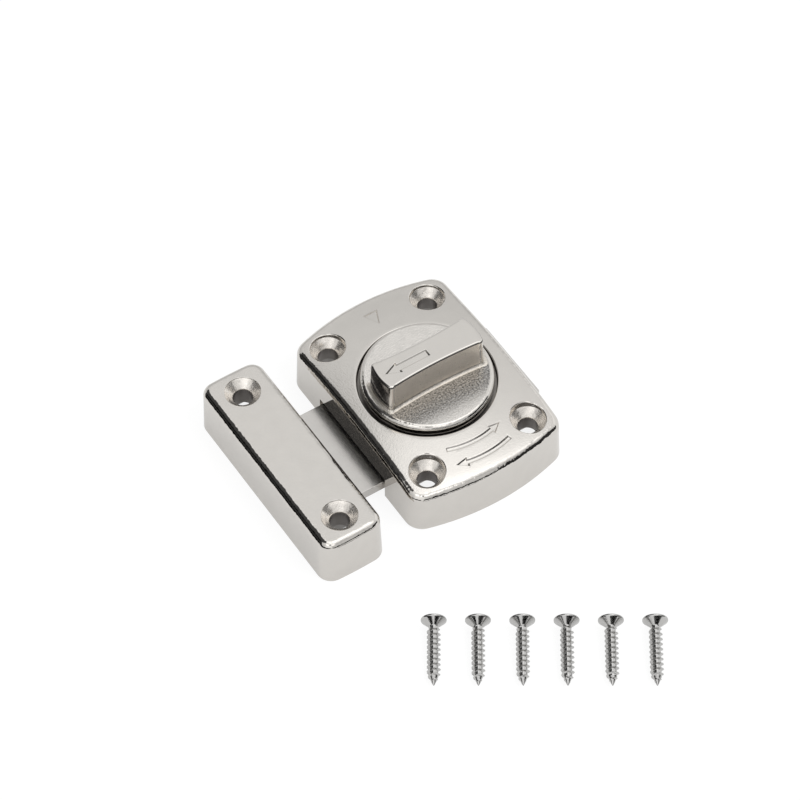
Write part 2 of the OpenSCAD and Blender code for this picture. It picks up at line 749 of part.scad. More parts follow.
// One wood screw along +Z, its tip at the origin
module wood_screw() {
    core = thread_d * 0.32;
    cone = (head_d / 2 - core) * 0.82;
    rim_low = screw_l - head_rim_h;
    crests = floor((rim_low - cone - tip_l - plain_l) / pitch);
    ridge = [for (k = [0:crests - 1]) let (z = first_crest + pitch * k)
        each [[core, z - pitch * 0.22], [thread_d / 2, z], [core, z + pitch * 0.22]]];
    cross_l = head_d * 0.5;
    cross_w = head_d * 0.13;
    cross_h = head_d * 0.22;
    difference() {
        rotate_extrude() polygon(concat(
            [[0, 0], [core, tip_l]], ridge,
            [[core, rim_low - cone], [head_d / 2, rim_low], [head_d / 2, screw_l], [0, screw_l]]));
        for (a = [45, 135]) rotate(a)
            translate([-cross_l / 2, -cross_w / 2, screw_l - cross_h]) cube([cross_l, cross_w, cross_h + past]);
    }
}

// The six loose wood screws, lying in a row on heads and threads
module wood_screws() {
    lean = atan((head_d - thread_d) / 2 / (screw_l - head_rim_h - first_crest));
    lift = thread_d / 2 * cos(lean) - first_crest * sin(lean);
    color(steel)
    translate([row_x, row_y, lift])
        for (i = [0:screws - 1])
            translate(i * row_step * [cos(row_angle), sin(row_angle), 0])
                rotate([0, 0, 90 + row_angle]) rotate([0, 90 - lean, 0]) wood_screw();
}

casing();
keep();
knob();
spindle();
bearing_bush();
cone_washer();
detent_ball();
detent_spring();
crank_plate();
crank_pin();
lock_washer();
crank_screw();
bolt();
back_plate();
glide_strips();
plate_rivets();
wood_screws();
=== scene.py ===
# Door latch: meshes, materials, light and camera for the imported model.
# Meshes are made in millimetres, in the model's own frame, and are scaled to metres at the end.
import math

import bmesh
import bpy
from mathutils import Matrix, Vector


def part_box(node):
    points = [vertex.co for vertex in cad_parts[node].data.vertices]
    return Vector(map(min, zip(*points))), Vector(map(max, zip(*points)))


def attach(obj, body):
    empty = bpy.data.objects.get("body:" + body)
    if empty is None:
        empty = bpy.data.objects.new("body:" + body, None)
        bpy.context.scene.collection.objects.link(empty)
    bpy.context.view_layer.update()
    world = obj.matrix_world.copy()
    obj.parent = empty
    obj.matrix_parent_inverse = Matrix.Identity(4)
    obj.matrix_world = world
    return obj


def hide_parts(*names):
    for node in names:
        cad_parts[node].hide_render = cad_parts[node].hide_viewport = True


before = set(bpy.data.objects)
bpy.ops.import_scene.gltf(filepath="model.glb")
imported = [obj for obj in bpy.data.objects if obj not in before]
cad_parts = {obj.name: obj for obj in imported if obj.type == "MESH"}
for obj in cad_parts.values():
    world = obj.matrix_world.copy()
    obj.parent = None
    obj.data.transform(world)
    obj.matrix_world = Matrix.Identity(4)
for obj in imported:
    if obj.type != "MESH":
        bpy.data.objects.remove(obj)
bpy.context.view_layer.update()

MM = 0.001


def node_box(name):
    """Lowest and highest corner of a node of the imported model, in millimetres."""
    low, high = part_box(name)
    return Vector(low) / MM, Vector(high) / MM


# Casing
casing_low, casing_high = node_box("casing")
casing_w = casing_high.x - casing_low.x
casing_l = casing_high.y - casing_low.y
casing_h = 14.1
dome_r = 155
end_bow = 3.4
corner_r = 4.3
wall = 2
draft = math.radians(2)
edge_r = 1.5
# Rounding along the lower edge of a cast block
foot_edge_r = 0.2
# Soft crease in the top near both ends: where it starts, over what length, and its slopes
crease_r = 25.9
crease_blend = 0.35
far_crease = 0.06
near_crease = -0.06
# Screw holes: places, bore, countersink, and how deep its rim is sunk and rounded
hole_dx = 26.5
hole_dy = 40.5
hole_r = 2.2
sink_r = 4
sink_lip = 0.15
casing_sink_drop = 1.25
casing_sink_edge_r = 0.3
# Bosses and ribs under the top, and how far they run into what carries them
boss_r = 4.9
boss_depth = 6.7
rib_t = 1.5
rib_lift = 0.4
end_rib_y = 22.95
root = 0.5
# Hollow, pocket for the crank, hole for the bush, and recess for the knob
ceiling = 9
pocket_top = 9.4
pocket_low = 6.6
pocket_r = 12.385
bush_hole_r = 5.53
recess_floor = 11.9
recess_r = 15.65
recess_rim_r = 0.3
recess_foot_r = 0.3
# Pillars for the rivets
pillar_x = 4.5
pillar_y = 16.3
pillar_r = 2.5
rivet_hole_r = 1.03
rivet_hole_h = 4.43
# Rails beside the bolt, the shelves over its edges, and the notches for it in the walls
rail_y = 12.9
rail_gap = 0.05
shelf_w = 0.9
shelf_gap = 0.1
plate_top = 1.4
bolt_z = 1.9
bolt_top = 4.4
notch_h = 5.65
notch_gap = 0.55
notch_flare = 0.25
# Stop lugs
lug_at = 10.485
lug_r = 1.5
lug_low = 6.8
lug_angles = (164.2, 15.8)
# How far a cutter runs past what it cuts
past = 1

# Keep
keep_low, keep_high = node_box("keep")
keep_w = keep_high.x - keep_low.x
keep_l = keep_high.y - keep_low.y
keep_h = keep_high.z
keep_x = (keep_low.x + keep_high.x) / 2
keep_side = keep_high.x
keep_bow = 0.3
keep_corner_r = 3.5
keep_edge_r = 1.6
keep_end_wall = 1.2
keep_hole_dy = 40
keep_sink_drop = 0.2
keep_sink_edge_r = 0.18
keep_rib_gap = 1.2

# Bolt
bolt_low, bolt_high = node_box("bolt")
bolt_w = bolt_high.y - bolt_low.y
tail_w = 22.5
shoulder_x = 5.6
bolt_corner_r = 1
bolt_edge_r = 0.15
slot_x, slot_y, slot_w, slot_l = -6, 7.36, 4.35, 3.36

# Knob
knob_r = 14.9
disc_bottom = 12.7
disc_top = 15.2
disc_edge_r = 1
disc_low_edge = 0.25
disc_low_bevel = 0.07
grip_top = 23
grip_l = 25.6
grip_end_w = 8.2
grip_waist_w = 6.8
grip_corner_r = 0.9
grip_edge_r = 0.45
grip_foot_r = 0.8
socket_w = 4.83
socket_top = 20.5
# Angles of the grip's wall from straight along it, past which it is shiny, and past which it is an end with
# painted shade
shiny_turn = 20
end_turn = 68
# Detent: its place, its bore in the knob, and its track in the casing
detent_r = 9.5
detent_bore = 1.6
detent_top = 19.5
ball_z = 12.95
track_r = 1.55

# Marks: depth, and where their walls begin and end on both sides of the outline
mark_depth = 0.36
mark_in = 0.22
mark_step = 0.075
mark_out = 0.2
# Bent arrows and triangle, and the arrow on the grip (length, shaft, head's length and width)
mark_shaft = 0.85
mark_head = (2.4, 2)
inner_arrow_r = 19.5
outer_arrow_r = 23.55
bent_half = 20.5
triangle_y = 21.5
triangle_w = 3.4
triangle_h = 3.8
grip_arrow = (10.8, 1.65, 3.2, 2.8)
grip_arrow_tip = -10.7

# Wood screws
screw_count = 6
screw_l = 16
thread_r = 1.55
core_r = 0.992
head_r = 2.8
head_rim_h = 0.35
head_edge_r = 0.1
head_slope = 0.82
tip_l = 2.2
tip_r = 0.02
tip_power = 0.8
plain_l = 1
# Thread: pitch, half a ridge as a share of it, its shape and start, and how far it grows and fades
pitch = 1.2
ridge_half = 0.16
ridge_power = 1.15
thread_start = 0.7
thread_grow = 1.1 * tip_l
thread_end = 1.2
first_crest = tip_l + 0.4 * pitch
# Rings of a screw's mesh: the first one's height and the step
ring_start = 0.04
ring_step = 0.08
# Cross recess: half lengths, half widths and heights over the head
cross = ((0.45, 0.2, -1.4), (1.55, 0.38, 0.05), (1.6, 0.45, 0.5))
# Row on the floor
row_step = 9.5
row_start = (-38.7, -61.7)
row_angle = math.radians(-33.2)
row_gap = 0.02
row_turn = math.radians(67)


# Outlines
def arc(cx, cy, r, start, end, steps):
    """Points of an arc, with its angles in degrees."""
    out = []
    for i in range(steps + 1):
        a = math.radians(start + (end - start) * i / steps)
        out.append((cx + r * math.cos(a), cy + r * math.sin(a)))
    return out


def full_circle(centre, r, steps):
    return arc(*centre, r, 0, 360 - 360 / steps, steps - 1)


def both_halves(points):
    """The points and the same ones turned half round."""
    return points + [(-x, -y) for x, y in points]


def plan(w, l, bow, corner, inset):
    """Plan of a cast block, moved inwards: straight sides, bowed ends and round corners."""
    corner_steps, end_steps = 10, 36
    r = (w * w / 4 + bow * bow) / (2 * bow)
    centre_y = l / 2 - r
    x = w / 2 - corner
    y = centre_y + math.sqrt((r - corner) ** 2 - x * x)
    turn = math.degrees(math.atan2(y - centre_y, x))
    side_steps = round(2 * y)
    half = arc(x, y, corner - inset, 0, turn, corner_steps)
    half += arc(0, centre_y, r - inset, turn, 180 - turn, end_steps)[1:-1]
    half += arc(-x, y, corner - inset, 180 - turn, 180, corner_steps)
    half += [(-w / 2 + inset, y - 2 * y * i / side_steps) for i in range(1, side_steps)]
    return both_halves(half)


def casing_plan(inset):
    return plan(casing_w, casing_l, end_bow, corner_r, inset)


def circle(r, points):
    """The points, moved towards or away from the origin onto a circle."""
    return [(r * x / math.hypot(x, y), r * y / math.hypot(x, y)) for x, y in points]


def lerp(a, b, t):
    return [(p[0] + (q[0] - p[0]) * t, p[1] + (q[1] - p[1]) * t) for p, q in zip(a, b)]


def offset(points, gap):
    """The closed outline moved outwards by a small gap, with mitred corners."""
    sharpest = 0.35
    out = []
    for i, p in enumerate(points):
        before = Vector(points[i - 1])
        here = Vector(p)
        after = Vector(points[(i + 1) % len(points)])
        a = (here - before).normalized()
        b = (after - here).normalized()
        normal = Vector((a.y + b.y, -a.x - b.x)).normalized()
        out.append(tuple(here + normal * gap / max(normal.dot(Vector((a.y, -a.x))), sharpest)))
    return out


def quarter(r, angles):
    """A rounding's steps: how far it is in from the wall and below the top, at angles from wall to top."""
    steps = []
    for a in angles:
        a = math.radians(a)
        steps.append((r * (1 - math.cos(a)), r * (1 - math.sin(a))))
    return steps


def at_four(x, y):
    """The four places at both signs of x and y."""
    return [(sx * x, sy * y) for sx in (-1, 1) for sy in (-1, 1)]


# Heights
def dome_z(x, y):
    """Height of the casing's top, with a soft crease near both ends."""
    r = math.hypot(x, y)
    beyond = max(r - crease_r, 0)
    soft = beyond * beyond / (beyond + crease_blend)
    return casing_h - r * r / (2 * dome_r) + soft * (far_crease if y > 0 else near_crease)


def flat(z):
    return lambda x, y: z


def raised(height, lift):
    """The height moved up, or down where the lift is negative."""
    return lambda x, y: height(x, y) + lift


# Meshes
def add_object(name, verts, faces, materials, indices=None):
    mesh = bpy.data.meshes.new(name)
    mesh.from_pydata(verts, [], faces)
    for m in materials:
        mesh.materials.append(m)
    if indices:
        mesh.polygons.foreach_set("material_index", indices)
    mesh.update()
    obj = bpy.data.objects.new(name, mesh)
    bpy.context.scene.collection.objects.link(obj)
    return obj


def loft(name, rings, materials, ring_indices, closed=False, inside_out=False):
    """A mesh through rings of points, capped unless it is closed, with a material's index for each ring."""
    n = len(rings[0])
    verts = [point for ring in rings for point in ring]
    faces, indices = [], []
    for k in range(len(rings) if closed else len(rings) - 1):
        a = k * n
        b = (k + 1) % len(rings) * n
        for i in range(n):
            j = (i + 1) % n
            faces.append((a + i, a + j, b + j, b + i))
            indices.append(ring_indices[k])
    if not closed:
        faces.append(tuple(reversed(range(n))))
        faces.append(tuple(range(len(verts) - n, len(verts))))
        indices += [ring_indices[0], ring_indices[-1]]
    if inside_out:
        faces = [tuple(reversed(face)) for face in faces]
    return add_object(name, verts, faces, materials, indices)


def ring_mesh(name, rings, materials, closed=False):
    """A mesh through rings, each an outline, its height and the material's index up to the next ring."""
    points = [[(x, y, height(x, y)) for x, y in outline] for outline, height, _ in rings]
    return loft(name, points, materials, [index for _, _, index in rings], closed)


def prism(name, outline, low, high, materials, index=0):
    return ring_mesh(name, [(outline, flat(low), index), (outline, flat(high), index)], materials)


def box_mesh(name, low, high, materials, index=0):
    x0, y0, z0 = low
    x1, y1, z1 = high
    return prism(name, [(x0, y0), (x1, y0), (x1, y1), (x0, y1)], z0, z1, materials, index)


def rod(name, centre, r, low, high, materials, index, steps):
    return prism(name, full_circle(centre, r, steps), low, high, materials, index)


def join(name, objects):
    """One object of several, which may overlap."""
    bm = bmesh.new()
    for o in objects:
        bm.from_mesh(o.data)
    mesh = bpy.data.meshes.new(name)
    for m in objects[0].data.materials:
        mesh.materials.append(m)
    bm.to_mesh(mesh)
    bm.free()
    for o in objects:
        bpy.data.objects.remove(o)
    obj = bpy.data.objects.new(name, mesh)
    bpy.context.scene.collection.objects.link(obj)
    return obj


def bake(obj):
    """The object's mesh with its modifiers applied."""
    graph = bpy.context.evaluated_depsgraph_get()
    mesh = bpy.data.meshes.new_from_object(obj.evaluated_get(graph))
    obj.modifiers.clear()
    old = obj.data
    obj.data = mesh
    bpy.data.meshes.remove(old)


def combine(obj, tool, operation):
    """A boolean of two objects that share their list of materials. The second one goes away."""
    mod = obj.modifiers.new("combine", "BOOLEAN")
    mod.operation = operation
    mod.solver = "EXACT"
    mod.use_self = True
    mod.material_mode = "INDEX"
    mod.object = tool
    bake(obj)
    bpy.data.objects.remove(tool)


def settle(obj, body, nodes, angle=32):
    """Smooth shading with sharp edges kept, metres, and the piece's place in the frame."""
    merge, slightest, weight = 0.002, 0.001, 50
    bm = bmesh.new()
    bm.from_mesh(obj.data)
    bmesh.ops.remove_doubles(bm, verts=bm.verts, dist=merge)
    bmesh.ops.dissolve_degenerate(bm, edges=bm.edges, dist=slightest)
    bm.to_mesh(obj.data)
    bm.free()
    mesh = obj.data
    mesh.transform(Matrix.Scale(MM, 4))
    mesh.shade_smooth()
    mesh.set_sharp_from_angle(angle=math.radians(angle))
    mod = obj.modifiers.new("normals", "WEIGHTED_NORMAL")
    mod.mode = "FACE_AREA"
    mod.weight = weight
    mod.keep_sharp = True
    bake(obj)
    obj.data.name = obj.name
    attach(obj, body)
    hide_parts(*nodes)


# Nodes of materials and of the sky
def new_material(name):
    mat = bpy.data.materials.new(name)
    mat.use_nodes = True
    return mat


def noise(tree, coords, size, detail, rough=0.5):
    """A noise texture whose features are about the size, in millimetres."""
    node = tree.nodes.new("ShaderNodeTexNoise")
    node.inputs["Scale"].default_value = 1 / (size * MM)
    node.inputs["Detail"].default_value = detail
    node.inputs["Roughness"].default_value = rough
    tree.links.new(coords, node.inputs["Vector"])
    return node.outputs["Fac"]


def map_range(tree, value, from_low, from_high, to_low, to_high, smooth=False):
    node = tree.nodes.new("ShaderNodeMapRange")
    node.interpolation_type = "SMOOTHSTEP" if smooth else "LINEAR"
    tree.links.new(value, node.inputs["Value"])
    limits = {"From Min": from_low, "From Max": from_high, "To Min": to_low, "To Max": to_high}
    for name, limit in limits.items():
        node.inputs[name].default_value = limit
    return node.outputs["Result"]


def math_node(tree, operation, *values):
    """A sum, product or the like of outputs or numbers."""
    node = tree.nodes.new("ShaderNodeMath")
    node.operation = operation
    for k, value in enumerate(values):
        if isinstance(value, (int, float)):
            node.inputs[k].default_value = value
        else:
            tree.links.new(value, node.inputs[k])
    return node.outputs[0]


def blend_to_colour(tree, shader, factor, colour):
    """Mixes the shader's colour, where one is linked to it, with another one."""
    mix = tree.nodes.new("ShaderNodeMix")
    mix.data_type = "RGBA"
    socket = shader.inputs["Base Color"]
    if socket.links:
        tree.links.new(socket.links[0].from_socket, mix.inputs["A"])
    mix.inputs["B"].default_value = (*colour, 1)
    tree.links.new(factor, mix.inputs["Factor"])
    tree.links.new(mix.outputs["Result"], socket)
    return mix


def split_axes(tree, coords):
    """The three separate outputs, X, Y and Z, of coordinates."""
    split = tree.nodes.new("ShaderNodeSeparateXYZ")
    tree.links.new(coords, split.inputs[0])
    return split.outputs


# Materials
def surface(name, colour, rough, metallic=1.0, spread=0.04, blotch=0.04, bumps=()):
    """A procedural surface: uneven colour and roughness, and bumps given as (size, depth) in millimetres."""
    patch_size, fine_size = 3, 0.6
    low, high = 0.3, 0.7
    mat = new_material(name)
    tree = mat.node_tree
    shader = tree.nodes["Principled BSDF"]
    coords = tree.nodes.new("ShaderNodeTexCoord").outputs["Object"]
    shader.inputs["Metallic"].default_value = metallic
    patches = map_range(tree, noise(tree, coords, patch_size, 3), low, high, 0, 1)
    mix = blend_to_colour(tree, shader, patches, [min(c * (1 + blotch), 1) for c in colour])
    mix.inputs["A"].default_value = (*[c * (1 - blotch) for c in colour], 1)
    fine = noise(tree, coords, fine_size, 4, 0.6)
    uneven = map_range(tree, fine, low, high, rough - spread, rough + spread)
    tree.links.new(uneven, shader.inputs["Roughness"])
    normal = None
    for size, depth in bumps:
        bump = tree.nodes.new("ShaderNodeBump")
        bump.inputs["Strength"].default_value = 1
        bump.inputs["Distance"].default_value = depth * MM
        tree.links.new(noise(tree, coords, size, 2), bump.inputs["Height"])
        if normal:
            tree.links.new(normal, bump.inputs["Normal"])
        normal = bump.outputs["Normal"]
    if normal:
        tree.links.new(normal, shader.inputs["Normal"])
    return mat


def paint_reflection_beside_grip(mat):
    """Painted reflection: a darker speckled band on the disc along the foot of the grip, where the grip's
    shaded side is mirrored.
    """
    # Where the band fades in and ends, in millimetres along Y
    fade_from, fade_to = -14, -8.5
    end_from, end_to = -3, -2
    # Size of its specks, the noise between which they fade, and how dark it is between them
    speck_size = 0.4
    speck_low, speck_high = 0.38, 0.6
    least = 0.4
    # Colour of the painted reflection of the grip's shaded side
    painted_reflection_colour = (0.13, 0.127, 0.124)
    tree = mat.node_tree
    coords = tree.nodes.new("ShaderNodeTexCoord").outputs["Object"]
    y = split_axes(tree, coords)["Y"]
    outer = map_range(tree, y, fade_from * MM, fade_to * MM, 0, 1, True)
    inner = map_range(tree, y, end_from * MM, end_to * MM, 1, 0)
    band = math_node(tree, "MULTIPLY", outer, inner)
    grain = noise(tree, coords, speck_size, 3, 0.7)
    specks = map_range(tree, grain, speck_low, speck_high, least, 1)
    amount = math_node(tree, "MULTIPLY", band, specks)
    blend_to_colour(tree, tree.nodes["Principled BSDF"], amount, painted_reflection_colour)


nickel = (0.66, 0.635, 0.60)
# Nickel made paler as painted light, used in the countersinks
painted_light_nickel = (0.84, 0.8, 0.75)
# Paler, beige nickel: a painted reflection on the grip's sides
painted_reflection_nickel = (0.94, 0.87, 0.78)
satin = surface("nickel_satin", nickel, 0.2, spread=0.02, blotch=0.015, bumps=((0.35, 0.02),))
polished = surface("nickel_polished", nickel, 0.055, spread=0.015, blotch=0.015)
rounded = surface("nickel_edge", nickel, 0.06, spread=0.015, blotch=0.015, bumps=((1.8, 0.14), (0.5, 0.012)))
# Countersinks: their paler colour is painted light
cone = surface("nickel_countersink", painted_light_nickel, 0.26, metallic=0.85, blotch=0.16, bumps=((1.5, 0.13),))
inside = surface("nickel_inside", (0.4, 0.385, 0.37), 0.4, blotch=0.1, bumps=((0.8, 0.03),))
# Darker nickel in the screw bores: painted shade
bore = surface("nickel_bore_painted_shade", (0.3, 0.28, 0.265), 0.4, blotch=0.15, bumps=((0.8, 0.03),))
# Darker nickel on the recess round the knob: painted shade
recess = surface("nickel_recess_painted_shade", (0.24, 0.225, 0.21), 0.4, blotch=0.15, bumps=((0.8, 0.01),))
blasted = surface("nickel_blasted", (0.71, 0.685, 0.65), 0.14, blotch=0.03, bumps=((0.4, 0.08), (0.18, 0.02)))
# The disc's top gets a painted reflection of the grip's shaded side
paint_reflection_beside_grip(blasted)
foot = surface("nickel_foot", (0.7, 0.66, 0.6), 0.4, blotch=0.08, bumps=((0.4, 0.12),))
grip_satin = surface("nickel_grip", nickel, 0.16, spread=0.02, blotch=0.015, bumps=((0.3, 0.001),))
# Near-black nickel under the grip's top edge: a painted dark reflection line
painted_line = surface("nickel_painted_line", (0.1, 0.095, 0.09), 0.3)
# Darker nickel on the grip's ends: painted shade
grip_end = surface("nickel_grip_end_painted_shade", (0.42, 0.4, 0.385), 0.1, spread=0.03, bumps=((2.5, 0.03),))
# The grip's sides: beige colour is a painted reflection
grip_side = surface("nickel_grip_side_painted_reflection", painted_reflection_nickel, 0.3, spread=0.03, blotch=0.03, bumps=((2.5, 0.02),))
bolt_satin = surface("bolt_satin", (0.62, 0.6, 0.575), 0.24, spread=0.03, blotch=0.02)
sheet = surface("bolt_steel", (0.66, 0.64, 0.61), 0.2, spread=0.03, blotch=0.02, bumps=((0.3, 0.0015),))
bright = surface("screw_bright", (0.52, 0.515, 0.505), 0.14, spread=0.03, bumps=((0.8, 0.006),))
steel = surface("steel_plain", (0.62, 0.62, 0.62), 0.25, bumps=((0.5, 0.004),))
spring = surface("spring_dark", (0.32, 0.32, 0.33), 0.3, bumps=((0.4, 0.004),))
acetal = surface("acetal", (0.86, 0.85, 0.8), 0.45, metallic=0.0, blotch=0.02, bumps=((0.5, 0.004),))

# Materials of the cast pieces and of the knob, and the places of each in its list
CAST = [satin, polished, cone, inside, bore, recess, rounded]
SATIN, POLISHED, CONE, INSIDE, BORE, RECESS, EDGE = range(7)
KNOB = [blasted, polished, grip_satin, inside, grip_side, rounded, foot, grip_end, painted_line]
BLASTED, SHINY, GRIP, HIDDEN, SIDE, ROUNDED, FOOT, SHADED_END, PAINTED_LINE = range(9)


# Cast pieces
def block_rings(outline, l, round_r, height, centre):
    """Rings of a cast block's outside, from its lower edge over the rounded one to its top's outline."""
    def shifted(inset):
        return [(x + centre, y) for x, y in outline(inset)]

    # The draft is taken up to the top's height this far in from the end
    end_inset = 2
    edge_steps = 12
    slant = math.tan(draft) * (height(centre, l / 2 - end_inset) - round_r)
    rings = []
    for up, inset in quarter(foot_edge_r, (0, 45, 90)):
        rings.append((shifted(inset), flat(up), POLISHED))
    for inset, drop in quarter(round_r, [90 * k / edge_steps for k in range(edge_steps + 1)]):
        rings.append((shifted(slant + inset), raised(height, -drop), EDGE))
    rings[-1] = (*rings[-1][:2], SATIN)
    return rings


def sink_cutter(centre, drop, height, slope_r):
    """Cutter of a countersunk hole, with a rounded rim that follows the surface round it."""
    steps = 72
    rim = height(*centre) - drop
    cone_low = rim - (sink_r - hole_r)
    near_rim = 0.05
    rings = [
        (hole_r, flat(-past), BORE),
        (hole_r, flat(cone_low - sink_lip), CONE),
        (hole_r + 0.3 * sink_lip, flat(cone_low), CONE),
        (hole_r + sink_lip, flat(cone_low + sink_lip), CONE),
        (sink_r - near_rim, flat(rim - near_rim), CONE),
        (sink_r, flat(rim), POLISHED),
    ]
    for out, below in quarter(slope_r, (0, 20, 40, 60, 75)):
        rings.append((sink_r + out, raised(height, -below), POLISHED))
    rings.append((sink_r + 1.6 * slope_r, raised(height, 0.6 * slope_r), POLISHED))
    return ring_mesh("cutter", [(full_circle(centre, r, steps), z, index) for r, z, index in rings], CAST)


def notch_cutter(side, depth, half_w, height):
    """Cutter of a bolt notch through a wall whose face is at x = side, with a slightly flared mouth."""
    way = 1 if side > depth else -1
    flare = notch_flare
    stations = [(depth, 0), (side - way * flare, 0), (side - 0.4 * way * flare, 0.2 * flare)]
    stations += [(side, 0.8 * flare), (side + way * past, 3 * flare)]
    rings = []
    for x, grow in stations:
        y, z = half_w + grow, height + grow
        rings.append([(x, -y, -past), (x, y, -past), (x, y, z), (x, -y, z)])
    return loft("cutter", rings, CAST, [POLISHED] * len(rings), inside_out=way < 0)


def mark_cutter(outline, height, index=SATIN):
    """Cutter of a shallow mark, whose walls are rounded into its floor and into the surface round it."""
    levels = [(-mark_in, -mark_depth)]
    for k in range(-2, 3):
        levels.append((mark_step * k, -mark_depth * (0.5 - 0.5 * math.sin(math.pi / 5 * k))))
    levels += [(mark_out, 0), (2 * mark_out, mark_out)]
    rings = [(offset(outline, gap), raised(height, lift), index) for gap, lift in levels]
    cutter = ring_mesh("cutter", rings, CAST)
    bm = bmesh.new()
    bm.from_mesh(cutter.data)
    caps = [f for f in bm.faces if len(f.verts) > 4]
    bmesh.ops.triangulate(bm, faces=caps)
    bm.to_mesh(cutter.data)
    bm.free()
    return cutter


def arrow(length, shaft_w, head_l, head_w):
    """A straight arrow along +X with its tip at the origin, counter-clockwise."""
    upper = [(-head_l, head_w / 2), (-head_l, shaft_w / 2), (-length, shaft_w / 2)]
    return [(0, 0)] + upper + [(x, -y) for x, y in reversed(upper)]


def bent_arrow(r, start, tip, shaft_w, head_l, head_w):
    """An arrow bent round the knob's axis, from one angle to its tip at another, counter-clockwise."""
    steps = 12
    way = 1 if tip > start else -1
    neck = tip - way * math.degrees(head_l / r)

    def at(radius, angle):
        a = math.radians(angle)
        return (radius * math.cos(a), radius * math.sin(a))

    out = arc(0, 0, r + shaft_w / 2, start, neck, steps)
    out += [at(r + head_w / 2, neck), at(r, tip), at(r - head_w / 2, neck)]
    out += arc(0, 0, r - shaft_w / 2, neck, start, steps)
    return out if way > 0 else out[::-1]


def ball_track():
    """Cutter of the quarter groove for the detent ball, with round ends."""
    steps, sides, end_steps = 24, 16, 3
    squash, tip = 0.97, 0.02
    rings = []
    for i in range(-end_steps, steps + end_steps + 1):
        a = math.radians(90 + 90 * min(max(i, 0), steps) / steps)
        end = min(i, 0) if i < 0 else max(i - steps, 0)
        slope = math.radians(90 / end_steps * end)
        reach = track_r * math.sin(slope) * squash
        width = track_r * math.cos(slope) + (tip if abs(end) == end_steps else 0)
        ring = []
        for k in range(sides):
            t = math.radians(360 * k / sides)
            out = detent_r + width * math.cos(t)
            x = out * math.cos(a) - reach * math.sin(a)
            y = out * math.sin(a) + reach * math.cos(a)
            ring.append((x, y, ball_z + width * math.sin(t)))
        rings.append(ring)
    return loft("cutter", rings, CAST, [INSIDE] * len(rings), inside_out=True)


def rib(half_x, centre, side, near, far, low, high):
    """A rib along X, on one side of the middle, between two distances from it."""
    y0, y1 = sorted((side * near, side * far))
    return box_mesh("rib", (centre - half_x, y0, low), (centre + half_x, y1, high), CAST, INSIDE)


def inner_rod(centre, r, low, high, steps):
    return rod("rod", centre, r, low, high, CAST, INSIDE, steps)


def add_ribs(shell, ribs, outline, low, high):
    """Trims the ribs to the outline and makes them one with the shell."""
    combine(ribs, prism("bound", outline, low, high, CAST, INSIDE), "INTERSECT")
    combine(shell, ribs, "UNION")


def casing_skin():
    """The casing's shell, from its outside over the recess to the hollow."""
    top_steps = 16
    rings = block_rings(casing_plan, casing_l, edge_r, dome_z, 0)
    edge = rings[-1][0]
    inner = circle(recess_r + recess_rim_r, edge)
    for k in range(1, top_steps + 1):
        rings.append((lerp(edge, inner, k / top_steps), dome_z, SATIN if k < top_steps else POLISHED))
    rim = quarter(recess_rim_r, (25, 45, 70, 90))
    for (down, out), index in zip(rim, (POLISHED, POLISHED, RECESS, RECESS)):
        rings.append((circle(recess_r + out, edge), raised(dome_z, -down), index))
    rounds = (
        (recess_r, recess_floor + recess_foot_r, RECESS),
        (recess_r - recess_foot_r / 3, recess_floor + recess_foot_r / 3, RECESS),
        (recess_r - recess_foot_r, recess_floor, RECESS),
        (bush_hole_r, recess_floor, INSIDE),
        (bush_hole_r, pocket_top, INSIDE),
        (pocket_r, pocket_top, INSIDE),
        (pocket_r, ceiling, INSIDE),
    )
    rings += [(circle(r, edge), flat(z), index) for r, z, index in rounds]
    rings += [(casing_plan(wall), flat(ceiling), INSIDE), (casing_plan(wall), flat(0), POLISHED)]
    return ring_mesh("casing_skin", rings, CAST, closed=True)


def casing_ribs():
    """Rails, shelves, end ribs, pillars and bosses, open over the crank's pocket."""
    half_x = casing_w / 2 - wall / 2
    high = ceiling + root
    boss_low = casing_h - (hole_dx ** 2 + hole_dy ** 2) / (8 * dome_r) - boss_depth
    ribs = []
    for side in (-1, 1):
        ribs.append(rib(half_x, 0, side, rail_y, rail_y + rib_t, plate_top + rail_gap, high))
        ribs.append(rib(half_x, 0, side, rail_y - shelf_w, rail_y + rib_t / 2, bolt_top + shelf_gap, high))
        ribs.append(rib(half_x, 0, side, end_rib_y, end_rib_y + rib_t, rib_lift, high))
    for pillar, boss in zip(at_four(pillar_x, pillar_y), at_four(hole_dx / 2, hole_dy / 2)):
        ribs.append(inner_rod(pillar, pillar_r, plate_top, high, 40))
        ribs.append(inner_rod(boss, boss_r, boss_low, high, 56))
    ribs = join("ribs", ribs)
    combine(ribs, inner_rod((0, 0), pocket_r, pocket_low, pocket_top, 96), "DIFFERENCE")
    return ribs


def casing_marks():
    """Cutters of the triangle and the two bent arrows."""
    low_y = triangle_y - triangle_h / 2
    high_y = triangle_y + triangle_h / 2
    triangle = [(0, low_y), (triangle_w / 2, high_y), (-triangle_w / 2, high_y)]
    outer_half = bent_half * inner_arrow_r / outer_arrow_r
    inner_arrow = bent_arrow(inner_arrow_r, -90 - bent_half, -90 + bent_half, mark_shaft, *mark_head)
    outer_arrow = bent_arrow(outer_arrow_r, -90 + outer_half, -90 - outer_half, mark_shaft, *mark_head)
    return [mark_cutter(outline, dome_z) for outline in (triangle, inner_arrow, outer_arrow)]


